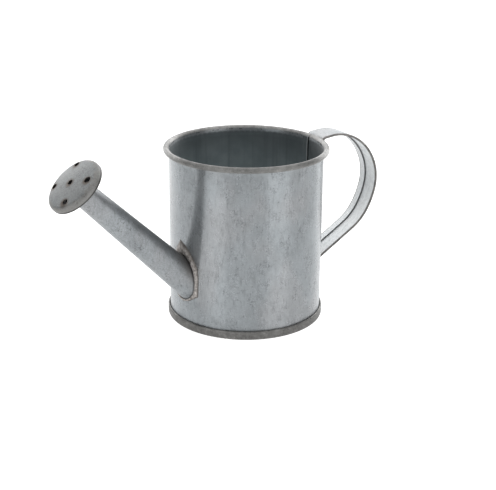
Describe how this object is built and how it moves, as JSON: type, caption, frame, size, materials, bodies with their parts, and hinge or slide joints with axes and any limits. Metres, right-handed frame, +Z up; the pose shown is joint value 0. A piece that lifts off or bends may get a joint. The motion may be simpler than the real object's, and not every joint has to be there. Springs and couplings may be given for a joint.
{
  "type": "watering can",
  "caption": "Small open-topped galvanised-steel watering can with a rolled rim, a long straight tapered spout ending in a perforated rose, and a hemmed strap handle.",
  "frame": {"origin": "centre of the flat underside of the base", "axes": "+Z up out of the can's mouth, +X from the can's axis towards the handle, the spout leaning up towards -X (turned 5 degrees towards -Y from exactly opposite the handle)"},
  "size_m": [0.1674, 0.075, 0.0857],
  "materials": {
    "wall_steel": "dull galvanised, softly reflective, fine dark specks",
    "base_steel": "dull galvanised, softly reflective, fine dark specks",
    "spout_steel": "dull galvanised, softly reflective, fine dark specks",
    "solder": "matte brown-grey, lumpy, oxidised",
    "rose_steel": "dull galvanised, softly reflective, fine dark specks",
    "handle_steel": "dull galvanised, softly reflective, fine dark specks"
  },
  "bodies": {
    "root": {"body_wall": "wall_steel", "base_pan": "base_steel", "spout_tube": "spout_steel", "spout_solder": "solder", "rose_face": "rose_steel", "rose_back": "rose_steel", "rose_solder": "solder", "handle_strap": "handle_steel", "handle_solder_upper": "solder", "handle_solder_lower": "solder"}
  },
  "joints": []
}
